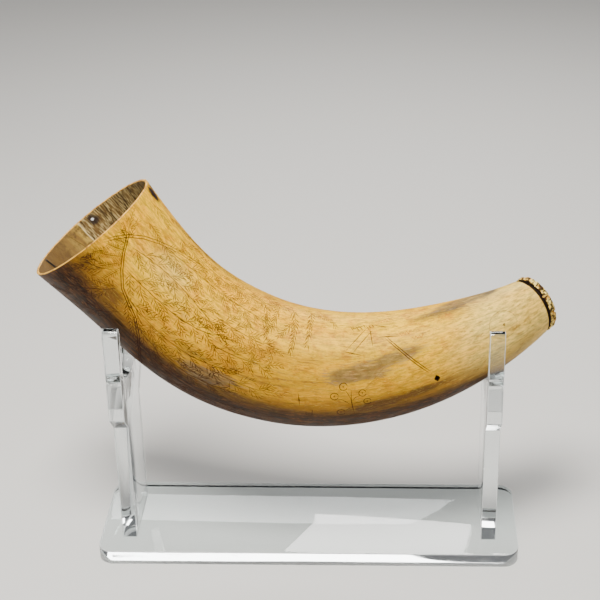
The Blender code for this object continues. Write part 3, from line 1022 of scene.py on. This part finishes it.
def newGroup(name, inputs, outputs):
    # inputs by name, each with its usual number, or None for coordinates
    group = bpy.data.node_groups.new(name, "ShaderNodeTree")
    for socketName, value in inputs.items():
        kind = "NodeSocketVector" if value is None else "NodeSocketFloat"
        socket = group.interface.new_socket(socketName, in_out="INPUT", socket_type=kind)
        if value is not None:
            socket.default_value = value
    for socketName in outputs:
        group.interface.new_socket(socketName, in_out="OUTPUT", socket_type="NodeSocketFloat")
    return group, put(group, "NodeGroupInput").outputs, put(group, "NodeGroupOutput").inputs


def makeGrainGroup():
    # long fibres of horn, from straightened coordinates
    group, start, end = newGroup(
        "hornGrain", {"Coordinates": None, "Streak Scale": 90.0, "Thread Scale": 900.0, "Length Stretch": 0.07},
        ("Streaks", "Threads", "Specks", "Dashes", "Mottle"))
    split = put(group, "ShaderNodeSeparateXYZ", in_Vector=start["Coordinates"]).outputs
    squeezed = times(group, split["X"], start["Length Stretch"])
    fibres = put(group, "ShaderNodeCombineXYZ", in_X=squeezed, in_Y=split["Y"], in_Z=split["Z"]).outputs[0]
    # specks are round; dashes and mottling are a little longer than wide
    stretched = put(group, "ShaderNodeMapping", in_Vector=start["Coordinates"], in_Scale=(0.30, 1.0, 1.0)).outputs[0]
    for name, value in (
        ("Streaks", noiseAt(group, fibres, start["Streak Scale"], 5.0, 0.6)),
        ("Threads", noiseAt(group, fibres, start["Thread Scale"], 3.0, 0.6)),
        ("Specks", noiseAt(group, start["Coordinates"], 1500.0, 2.0, 0.7)),
        ("Dashes", spread(group, noiseAt(group, stretched, 780.0, 2.0, 0.6), 0.57, 0.66)),
        ("Mottle", noiseAt(group, stretched, 520.0, 5.0, 0.8)),
    ):
        group.links.new(value, end[name])
    return group


def makePatchGroup():
    # breaks up a soft zone's edge so that it reads as a stain
    group, start, end = newGroup(
        "brokenPatch", {"Zone": 0.0, "Breakup": 0.5, "Amount": 0.6, "Low": 0.25, "High": 0.75}, ("Mask",))
    broken = timesPlus(group, sums(group, "SUBTRACT", start["Breakup"], 0.5), start["Amount"], start["Zone"])
    group.links.new(spread(group, broken, start["Low"], start["High"]), end["Mask"])
    return group


def makeScratchGroup():
    # hairline handling scratches for polished sheet and horn
    group, start, end = newGroup("hairScratches", {"Coordinates": None, "Scale": 300.0, "Coverage": 0.5}, ("Mask",))
    warp = put(group, "ShaderNodeTexNoise", in_Vector=start["Coordinates"], in_Scale=40.0, in_Detail=2.0)
    twist = put(group, "ShaderNodeVectorMath", operation="SCALE", in_Vector=warp.outputs["Color"], in_Scale=0.01)
    moved = put(group, "ShaderNodeVectorMath", operation="ADD", in_Vector=start["Coordinates"])
    group.links.new(twist.outputs[0], moved.inputs[1])
    stretched = put(group, "ShaderNodeMapping", in_Vector=moved.outputs[0], in_Rotation=(0.3, 0.5, 0.7),
                    in_Scale=(0.04, 1.0, 1.0)).outputs[0]
    cells = noiseAt(group, stretched, start["Scale"], 3.0, 0.7)
    above = sums(group, "SUBTRACT", cells, sums(group, "SUBTRACT", 1.0, start["Coverage"]))
    group.links.new(sums(group, "MULTIPLY", above, 14.0, clamp=True), end["Mask"])
    return group


grainGroup = makeGrainGroup()
patchGroup = makePatchGroup()
scratchGroup = makeScratchGroup()


def placeGroup(tree, group, **values):
    node = put(tree, "ShaderNodeGroup", node_tree=group)
    for name, value in values.items():
        feed(tree, node.inputs[name.replace("_", " ")], value)
    return node.outputs


def brokenPatch(tree, layer, breakup, settings):
    # a drawn zone with its edge broken up; settings are amount, low, high
    amount, low, high = settings
    return placeGroup(tree, patchGroup, Zone=readLayer(tree, layer), Breakup=breakup, Amount=amount, Low=low,
                      High=high)["Mask"]


def scratchMask(tree, coordinates, scale, coverage):
    return placeGroup(tree, scratchGroup, Coordinates=coordinates, Scale=scale, Coverage=coverage)["Mask"]


def readLayer(tree, name, output="Fac"):
    return put(tree, "ShaderNodeAttribute", attribute_name=name, attribute_type="GEOMETRY").outputs[output]


def newMaterial(name):
    material = bpy.data.materials.new(name)
    material.use_nodes = True
    return material, material.node_tree, material.node_tree.nodes["Principled BSDF"]


def newSkin(name, look):
    # a material for one surface of the horn, with the grain laid along the straightened horn
    material, tree, shader = newMaterial(name)
    coordinates = readLayer(tree, "straightened", "Vector")
    streakScale, threadScale, stretch = look["grain"]
    grain = placeGroup(tree, grainGroup, Coordinates=coordinates, Streak_Scale=streakScale,
                       Thread_Scale=threadScale, Length_Stretch=stretch)
    return material, tree, shader, coordinates, grain


def finishSkin(tree, shader, look, colour, rough, height):
    strength, distance = look["relief"]
    bump = put(tree, "ShaderNodeBump", in_Strength=strength, in_Distance=distance, in_Height=height)
    for name, value in (("Base Color", colour), ("Roughness", rough), ("Normal", bump.outputs[0])):
        tree.links.new(value, shader.inputs[name])


# In every look: grain is streak scale, thread scale and stretch, and relief is the bump's strength and depth.
hornLook = {
    "honey": fromScreen(255, 202, 8),
    "honeyDeep": fromScreen(240, 172, 4),
    "strawAndHighlight": fromScreen(255, 222, 118),
    "strawDeep": fromScreen(232, 188, 84),
    "scraped": fromScreen(255, 222, 100),
    "warm": fromScreen(214, 144, 10),
    # tan, amber and amberShadeDeep darken the lower side: a darker patina together with painted shade
    "tan": fromScreen(150, 100, 18),
    "amberAndShade": fromScreen(78, 40, 4),
    "amberShadeDeep": fromScreen(20, 9, 1),
    "scuff": fromScreen(74, 72, 70),
    "scuffSpeck": fromScreen(150, 124, 84),
    "stain": fromScreen(74, 48, 20),
    "smudge": fromScreen(34, 17, 16),
    "dash": fromScreen(128, 78, 24),
    "ink": fromScreen(42, 14, 3),
    "rust": fromScreen(168, 76, 20),
    "roughness": 0.46,
    "threadRoughness": 0.22,
    "scuffRoughness": 0.2,
    "inkRoughness": 0.25,
    "ior": 1.54,
    "specular": 0.12,
    "grain": (90.0, 900.0, 0.07),
    "relief": (0.35, 0.0004),
    "cloudScale": 38.0,
    "warmScale": 115.0,
    "scrapeScale": 1900.0,
    "scratchScale": 700.0,
    # patches: how far the edge breaks up, where it starts, where it is full
    "tanShadePatch": (1.6, 0.0, 0.85),
    "amberShadePatch": (1.8, 0.5, 1.3),
    "strawAndHighlightPatch": (0.5, 0.1, 0.95),
    "scuffPatch": (3.0, 0.25, 0.85),
    "stainPatch": (2.4, 0.25, 0.85),
    "smudgePatch": (1.6, 0.3, 0.8),
    # ranges: from, to, and what these become where that isn't 0 and 1
    "honeyRange": (0.3, 0.72),
    "warmRange": (0.48, 0.66, 0.0, 0.7),
    "amberShadeRange": (0.35, 0.7),
    "scrapeRange": (0.0, 1.0, 0.25, 0.4),
    "scuffRange": (0.52, 0.7),
    "fibreRange": (0.30, 0.70, 0.70, 1.16),
    "pitRange": (0.24, 0.34, 1.0, 0.0),
    "mottleRange": (0.36, 0.62, 0.56, 1.14),
    "dashRange": (0.3, 0.6, 0.15, 0.5),
    "inkRange": (0.25, 0.6, 0.72, 1.0),
    "tanShadeAmount": 0.8,
    "amberShadeAmount": 0.97,
    "stainAmount": 0.8,
    "scuffAmount": 0.7,
    "fibreAmount": 0.8,
    "pitAmount": 0.45,
    "mottleAmount": 0.9,
}


def makeHornMaterial():
    look = hornLook
    material, tree, shader, coordinates, grain = newSkin("engravedHornSkin", look)
    shader.inputs["IOR"].default_value = look["ior"]
    shader.inputs["Specular IOR Level"].default_value = look["specular"]
    streaks, threads, mottle = grain["Streaks"], grain["Threads"], grain["Mottle"]
    cloud = noiseAt(tree, coordinates, look["cloudScale"], 4.0)
    dappled = timesPlus(tree, streaks, 0.45, times(tree, mottle, 0.55))
    rubbed = timesPlus(tree, threads, 0.6, times(tree, mottle, 0.4))
    amberAndShade = brokenPatch(tree, "amberAndShade", dappled, look["amberShadePatch"])
    strawAndHighlight = brokenPatch(tree, "strawAndHighlight", cloud, look["strawAndHighlightPatch"])
    scuff = brokenPatch(tree, "scuff", rubbed, look["scuffPatch"])

    # honey with warm clouds, paler towards the small end, and a painted highlight on the upper side near the mouth
    honeyMix = spread(tree, streaks, *look["honeyRange"])
    colour = mixColour(tree, honeyMix, look["honeyDeep"], look["honey"])
    warm = spread(tree, noiseAt(tree, coordinates, look["warmScale"], 5.0, 0.62), *look["warmRange"])
    colour = mixColour(tree, warm, colour, look["warm"])
    colour = mixColour(tree, strawAndHighlight, colour, mixColour(tree, honeyMix, look["strawDeep"], look["strawAndHighlight"]))
    # the belly turns golden brown first and then nearly black, a darker patina together with painted shade on the
    # lower side
    tan = brokenPatch(tree, "amberAndShade", dappled, look["tanShadePatch"])
    colour = mixColour(tree, times(tree, tan, look["tanShadeAmount"]), colour, look["tan"])
    deepBrownAndShade = mixColour(tree, spread(tree, threads, *look["amberShadeRange"]), look["amberShadeDeep"], look["amberAndShade"])
    colour = mixColour(tree, times(tree, amberAndShade, look["amberShadeAmount"]), colour, deepBrownAndShade)
    stain = brokenPatch(tree, "stain", rubbed, look["stainPatch"])
    colour = mixColour(tree, times(tree, stain, look["stainAmount"]), colour, look["stain"])
    # fine pale scrape marks, most of them towards the small end and none on the dark belly
    scraped = times(tree, scratchMask(tree, coordinates, look["scrapeScale"], 0.44),
                    spread(tree, strawAndHighlight, *look["scrapeRange"]))
    scraped = times(tree, scraped, sums(tree, "SUBTRACT", 1.0, amberAndShade))
    colour = mixColour(tree, scraped, colour, look["scraped"])
    scuffColour = mixColour(tree, spread(tree, threads, *look["scuffRange"]), look["scuff"], look["scuffSpeck"])
    colour = mixColour(tree, times(tree, scuff, look["scuffAmount"]), colour, scuffColour)
    # fibres, pits, mottling and dashes
    colour = shaded(tree, colour, spread(tree, threads, *look["fibreRange"]), look["fibreAmount"])
    pits = spread(tree, grain["Specks"], *look["pitRange"])
    colour = mixColour(tree, times(tree, pits, look["pitAmount"]), colour, look["stain"])
    colour = shaded(tree, colour, spread(tree, mottle, *look["mottleRange"]), look["mottleAmount"])
    dashed = times(tree, grain["Dashes"], spread(tree, cloud, *look["dashRange"]))
    colour = mixColour(tree, dashed, colour, look["dash"])
    colour = mixColour(tree, brokenPatch(tree, "smudge", mottle, look["smudgePatch"]), colour, look["smudge"])
    # ink and rust in the cuts, worn thinner in places
    inked = times(tree, readLayer(tree, "ink"), spread(tree, cloud, *look["inkRange"]))
    inkColour = mixColour(tree, readLayer(tree, "rust"), look["ink"], look["rust"])
    colour = mixColour(tree, inked, colour, inkColour)

    rough = timesPlus(tree, threads, look["threadRoughness"], look["roughness"] - 0.1)
    rough = timesPlus(tree, scuff, look["scuffRoughness"], rough)
    rough = timesPlus(tree, inked, look["inkRoughness"], rough, clamp=True)
    height = timesPlus(tree, streaks, 0.9, times(tree, threads, 0.5))
    height = timesPlus(tree, pits, -0.5, height)
    height = timesPlus(tree, scratchMask(tree, coordinates, look["scratchScale"], 0.42), -0.25, height)
    finishSkin(tree, shader, look, colour, rough, height)
    return material


insideLook = {
    "light": fromScreen(206, 170, 74),
    "lightDeep": fromScreen(128, 94, 36),
    "brown": fromScreen(92, 66, 28),
    "dark": fromScreen(118, 88, 42),
    "darkDeep": fromScreen(54, 36, 14),
    "chalk": fromScreen(216, 190, 124),
    "seam": fromScreen(246, 222, 160),
    "smudge": fromScreen(28, 16, 20),
    "crack": fromScreen(12, 7, 4),
    "roughness": 0.55,
    "grain": (190.0, 1250.0, 0.10),
    "relief": (0.6, 0.0007),
    "blotchScale": 190.0,
    "smudgePatch": (0.8, 0.25, 0.75),
    # borders of the light and dark parts, as shares of a turn
    "lightFrom": (0.318, 0.326),
    "lightTo": (0.80, 0.95),
    "seamEnds": (0.322, 0.329),
    "outerBend": (0.37, 0.48, 0.0, 0.9),
    # ranges of the grain, as in the outside's look
    "streakRange": (0.3, 0.7),
    "chalkRange": (0.46, 0.62),
    "brownRange": (0.44, 0.6),
    "blotchRange": (0.46, 0.62, 0.0, 0.7),
    "speckRange": (0.62, 0.75, 0.0, 0.5),
    "chalkAmount": 0.75,
    "brownAmount": 0.65,
    "smudgeAmount": 0.85,
}


def makeInsideMaterial():
    look = insideLook
    material, tree, shader, coordinates, grain = newSkin("hornInside", look)
    streaks, threads = grain["Streaks"], grain["Threads"]
    edge = sums(tree, "ADD", readLayer(tree, "turned"), timesPlus(tree, streaks, 0.05, -0.025))
    streaky = spread(tree, streaks, *look["streakRange"])
    dark = mixColour(tree, streaky, look["darkDeep"], look["dark"])
    chalk = spread(tree, threads, *look["chalkRange"])
    dark = mixColour(tree, times(tree, chalk, look["chalkAmount"]), dark, look["chalk"])
    light = mixColour(tree, streaky, look["lightDeep"], look["light"])
    browned = spread(tree, grain["Mottle"], *look["brownRange"])
    light = mixColour(tree, times(tree, browned, look["brownAmount"]), light, look["dark"])
    blotch = spread(tree, noiseAt(tree, coordinates, look["blotchScale"], 5.0, 0.7), *look["blotchRange"])
    light = mixColour(tree, blotch, light, look["darkDeep"])
    outerBend = spread(tree, timesPlus(tree, streaks, 0.1, edge), *look["outerBend"])
    light = mixColour(tree, outerBend, light, look["brown"])
    # light from the outer bend to just past the nail hole, dark over the rest of the far wall
    lightPart = spread(tree, edge, *look["lightFrom"])
    lit = sums(tree, "SUBTRACT", lightPart, spread(tree, edge, *look["lightTo"]), clamp=True)
    colour = mixColour(tree, lit, dark, light)
    seam = times(tree, lightPart, spread(tree, edge, *look["seamEnds"], 1.0, 0.0))
    colour = mixColour(tree, seam, colour, look["seam"])
    smudge = brokenPatch(tree, "smudge", streaks, look["smudgePatch"])
    colour = mixColour(tree, times(tree, smudge, look["smudgeAmount"]), colour, look["smudge"])
    colour = mixColour(tree, spread(tree, grain["Specks"], *look["speckRange"]), colour, look["darkDeep"])
    colour = mixColour(tree, readLayer(tree, "ink"), colour, look["crack"])
    rough = timesPlus(tree, threads, 0.3, look["roughness"] - 0.15)
    finishSkin(tree, shader, look, colour, rough, timesPlus(tree, streaks, 1.2, threads))
    return material


collarLook = {
    "cream": fromScreen(255, 224, 120),
    "tan": fromScreen(190, 132, 44),
    "pit": fromScreen(30, 14, 4),
    "groove": fromScreen(30, 16, 5),
    "roughness": 0.7,
    "specular": 0.2,
    "grain": (300.0, 620.0, 0.8),
    "relief": (0.7, 0.0006),
}


def makeCollarMaterial():
    look = collarLook
    material, tree, shader, _, grain = newSkin("raggedCollar", look)
    shader.inputs["Specular IOR Level"].default_value = look["specular"]
    colour = mixColour(tree, spread(tree, grain["Streaks"], 0.35, 0.6), look["tan"], look["cream"])
    pits = spread(tree, grain["Threads"], 0.46, 0.53, 1.0, 0.0)
    colour = mixColour(tree, times(tree, pits, 0.95), colour, look["pit"])
    colour = mixColour(tree, readLayer(tree, "ink"), colour, look["groove"])
    rough = timesPlus(tree, grain["Specks"], 0.3, look["roughness"] - 0.15)
    finishSkin(tree, shader, look, colour, rough, sums(tree, "ADD", grain["Threads"], grain["Specks"]))
    return material


# pale and worn tones of the mouth's worn rim; on the small end's rounded edge the pale tone is a painted highlight
rimAndSheenLook = {
    "pale": fromScreen(232, 176, 70),
    "worn": fromScreen(150, 96, 30),
    "roughness": 0.42,
    "grain": (260.0, 900.0, 1.0),
    "relief": (0.4, 0.0004),
}


def makeRimAndSheenMaterial():
    look = rimAndSheenLook
    material, tree, shader, _, grain = newSkin("wornRimAndEdgeSheen", look)
    colour = mixColour(tree, spread(tree, grain["Streaks"], 0.35, 0.55), look["worn"], look["pale"])
    rough = timesPlus(tree, grain["Threads"], 0.25, look["roughness"] - 0.1)
    finishSkin(tree, shader, look, colour, rough, grain["Threads"])
    return material


acrylicLook = {
    "tint": fromScreen(240, 245, 246),
    "passing": fromScreen(250, 252, 252),
    "roughness": 0.015,
    "scratchRoughness": 0.16,
    "transmission": 1.0,
    "ior": 1.49,
    "scratchScale": 420.0,
    "scratchCoverage": 0.36,
    "hazeScale": 60.0,
    "hazeRange": (0.5, 0.7, 0.0, 0.04),
}
# the rounded edges are whiter and less clear than the sheet, a painted highlight that makes them read as bright lines
satinEdgeSheenLook = dict(acrylicLook, tint=fromScreen(246, 250, 251), passing=fromScreen(248, 250, 250),
                     roughness=0.22, scratchRoughness=0.2, transmission=0.45)


def makeAcrylicMaterial(name, look):
    material, tree, shader = newMaterial(name)
    for socket, value in (("Base Color", "tint"), ("Transmission Weight", "transmission"), ("IOR", "ior")):
        shader.inputs[socket].default_value = look[value]
    coordinates = put(tree, "ShaderNodeTexCoord").outputs["Object"]
    mask = scratchMask(tree, coordinates, look["scratchScale"], look["scratchCoverage"])
    smear = spread(tree, noiseAt(tree, coordinates, look["hazeScale"], 3.0), *look["hazeRange"])
    rough = timesPlus(tree, mask, look["scratchRoughness"], look["roughness"])
    tree.links.new(sums(tree, "ADD", rough, smear), shader.inputs["Roughness"])
    # clear sheet lets the lamps and the floor's light through
    path = put(tree, "ShaderNodeLightPath").outputs
    passing = sums(tree, "MAXIMUM", path["Is Shadow Ray"], path["Is Diffuse Ray"])
    through = put(tree, "ShaderNodeBsdfTransparent", in_Color=look["passing"])
    blend = put(tree, "ShaderNodeMixShader")
    for socket, value in zip(blend.inputs, (passing, shader.outputs[0], through.outputs[0])):
        tree.links.new(value, socket)
    tree.links.new(blend.outputs[0], tree.nodes["Material Output"].inputs["Surface"])
    return material


def dressPiece(name, mesh, node):
    piece = bpy.data.objects.new(name, mesh)
    bpy.context.scene.collection.objects.link(piece)
    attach(piece, "root")
    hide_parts(node)


hornMesh = makeHornMesh()
for make in (makeHornMaterial, makeInsideMaterial, makeCollarMaterial, makeRimAndSheenMaterial):
    hornMesh.materials.append(make())
dressPiece("engravedHorn", hornMesh, "horn")
print("horn dressed")

standForm = {
    "thickness": 0.0095,
    "height": 0.1665,
    "forkDepth": 0.071,
    "prongWidth": 0.0072,
    "rightBackDrop": 0.0064,
    "notchDepth": 0.0455,
    "notchFloorRise": 0.016,
    "shoulderBelowTip": 0.0625,
    "stemDepth": 0.0484,
    "footThickness": 0.0095,
    "footCorner": 0.010,
    "touchGap": 0.0003,
    "polishedEdge": 0.00045,
    "edgeSteps": 3,
    "sharpAngle": 35,
    "arcSteps": 20,
}


def arcPoints(centre, radius, start, end, rise=None):
    # part of a circle, or of an ellipse with its own rise
    rise = radius if rise is None else rise
    turns = np.radians(np.linspace(start, end, standForm["arcSteps"] + 1))
    return [(centre[0] + radius * math.cos(a), centre[1] + rise * math.sin(a)) for a in turns]


def forkSide(backDrop):
    # half an upright's outline, from the foot over one prong to the notch floor
    f = standForm
    tip = f["prongWidth"] / 2
    halfNotch = f["forkDepth"] / 2 - f["prongWidth"]
    shoulder = f["height"] - f["shoulderBelowTip"]
    drop = (f["forkDepth"] - f["stemDepth"]) / 2
    floor = f["height"] - f["notchDepth"]
    half = [(f["stemDepth"] / 2, f["footThickness"] + f["touchGap"]), (f["stemDepth"] / 2, shoulder - drop),
            (f["forkDepth"] / 2, shoulder)]
    half += arcPoints((halfNotch + tip, f["height"] - tip - backDrop), tip, 0, 180)
    half += arcPoints((0.0, floor + f["notchFloorRise"]), halfNotch, 0, -90, f["notchFloorRise"])
    return half


def forkOutline(backDrop):
    return forkSide(backDrop) + [(-x, y) for x, y in reversed(forkSide(0.0)[:-1])]


def sheetMesh(name, outline, thickness, turn, shift, materials):
    # cuts a flat outline from sheet, puts it in place and polishes its edges round
    bm = bmesh.new()
    bottom = bm.faces.new([bm.verts.new((x, y, -thickness / 2)) for x, y in outline])
    lifted = bmesh.ops.extrude_face_region(bm, geom=[bottom])["geom"]
    bmesh.ops.translate(bm, vec=(0, 0, thickness), verts=[v for v in lifted if isinstance(v, bmesh.types.BMVert)])
    bmesh.ops.remove_doubles(bm, verts=bm.verts, dist=1e-6)
    bmesh.ops.recalc_face_normals(bm, faces=bm.faces)
    sharp = [e for e in bm.edges if e.calc_face_angle(0) > math.radians(30)]
    rounded = bmesh.ops.bevel(bm, geom=sharp, offset=standForm["polishedEdge"], segments=standForm["edgeSteps"],
                              profile=0.5, affect="EDGES")
    # the rounded edges take the second material, the satin edge's painted highlight
    for face in rounded["faces"]:
        face.material_index = 1
    for face in bm.faces:
        face.smooth = len(face.verts) < 5    # the two large faces stay plane
    bmesh.ops.transform(bm, matrix=Matrix.Translation(shift) @ turn.to_4x4(), verts=bm.verts)
    mesh = bpy.data.meshes.new(name)
    bm.to_mesh(mesh)
    bm.free()
    mesh.set_sharp_from_angle(angle=math.radians(standForm["sharpAngle"]))
    for material in materials:
        mesh.materials.append(material)
    return mesh


acrylic = (makeAcrylicMaterial("clearAcrylic", acrylicLook), makeAcrylicMaterial("satinEdgeSheen", satinEdgeSheenLook))
upright = Matrix(((0, 0, 1), (1, 0, 0), (0, 1, 0)))    # stands a flat outline up, facing along the horn
for name, node, backDrop in (("leftFork", "left_cradle", 0.0),
                             ("rightFork", "right_cradle", standForm["rightBackDrop"])):
    low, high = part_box(node)
    mesh = sheetMesh(name, forkOutline(backDrop), standForm["thickness"], upright,
                     ((low.x + high.x) / 2, 0, 0), acrylic)
    dressPiece(name, mesh, node)

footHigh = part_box("stand_base")[1]
corner = standForm["footCorner"]
footOutline = []
for sideX, sideY, start in ((1, 1, 0), (-1, 1, 90), (-1, -1, 180), (1, -1, 270)):
    middle = (sideX * (footHigh.x - corner), sideY * (footHigh.y - corner))
    footOutline += arcPoints(middle, corner, start, start + 90)
footMesh = sheetMesh("footPlate", footOutline, standForm["footThickness"], Matrix.Identity(3),
                     (0, 0, standForm["footThickness"] / 2), acrylic)
dressPiece("footPlate", footMesh, "stand_base")
print("stand dressed")

studio = {
    "floor": fromScreen(214, 213, 210),
    "world": fromScreen(222, 224, 228),
    "worldStrength": 0.24,
    "floorSize": 4.0,
    "floorRoughness": 0.85,
    "underFoot": 0.0002,
}


def makeFloor(s):
    mesh = bpy.data.meshes.new("floor")
    h = s["floorSize"]
    z = -s["underFoot"]
    mesh.from_pydata([(-h, -h, z), (h, -h, z), (h, h, z), (-h, h, z)], [], [(0, 1, 2, 3)])
    material, _, shader = newMaterial("paleFloor")
    shader.inputs["Base Color"].default_value = s["floor"]
    shader.inputs["Roughness"].default_value = s["floorRoughness"]
    mesh.materials.append(material)
    floor = bpy.data.objects.new("floor", mesh)
    bpy.context.scene.collection.objects.link(floor)


# lamps: place, aim, size, watts, colour
lamps = {
    "keyLamp": ((-0.16, -0.42, 1.24), (-0.03, 0.0, 0.17), 0.42, 31.0, (1.0, 0.96, 0.90)),
    "fillLamp": ((0.9, -0.8, 0.7), (0.05, 0.0, 0.17), 0.9, 2.0, (0.95, 0.97, 1.0)),
    "rimLamp": ((0.1, 0.8, 0.9), (0.0, 0.0, 0.17), 0.4, 8.0, (1.0, 0.98, 0.95)),
}


def makeLights(s):
    for name, (spot, aim, size, watts, colour) in lamps.items():
        data = bpy.data.lights.new(name, "AREA")
        data.energy = watts
        data.size = size
        data.color = colour
        lamp = bpy.data.objects.new(name, data)
        lamp.location = spot
        lamp.rotation_mode = "QUATERNION"
        lamp.rotation_quaternion = (Vector(aim) - Vector(spot)).to_track_quat("-Z", "Y")
        bpy.context.scene.collection.objects.link(lamp)
    world = bpy.data.worlds.new("softRoom")
    world.use_nodes = True
    back = world.node_tree.nodes["Background"]
    back.inputs["Color"].default_value = s["world"]
    back.inputs["Strength"].default_value = s["worldStrength"]
    bpy.context.scene.world = world


makeFloor(studio)
makeLights(studio)
print("studio lit")
